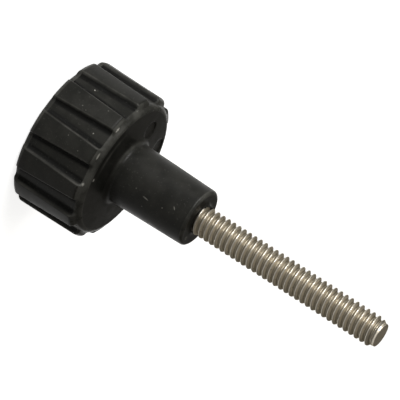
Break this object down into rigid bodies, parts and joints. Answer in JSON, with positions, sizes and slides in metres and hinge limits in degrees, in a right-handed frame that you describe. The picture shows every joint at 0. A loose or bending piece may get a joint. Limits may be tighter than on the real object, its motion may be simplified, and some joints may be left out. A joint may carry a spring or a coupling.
{
  "type": "threaded knob",
  "caption": "Ribbed plastic clamping knob with a long tapered neck and a moulded-in steel stud with an inch thread.",
  "frame": {"origin": "centre of the head's flat top, on which the knob stands", "axes": "+Z along the knob's axis from the head to the stud's tip; +X through the middle of one grip rib; +Y completes the right-handed frame"},
  "size_m": [0.032, 0.032, 0.0772],
  "materials": {
    "black_plastic": "semi-gloss moulded black plastic with fine scuffs",
    "stud_steel": "plain rolled stainless steel, slightly warm"
  },
  "bodies": {
    "root": {"knob_body": "black_plastic", "threaded_stud": "stud_steel"}
  },
  "joints": []
}
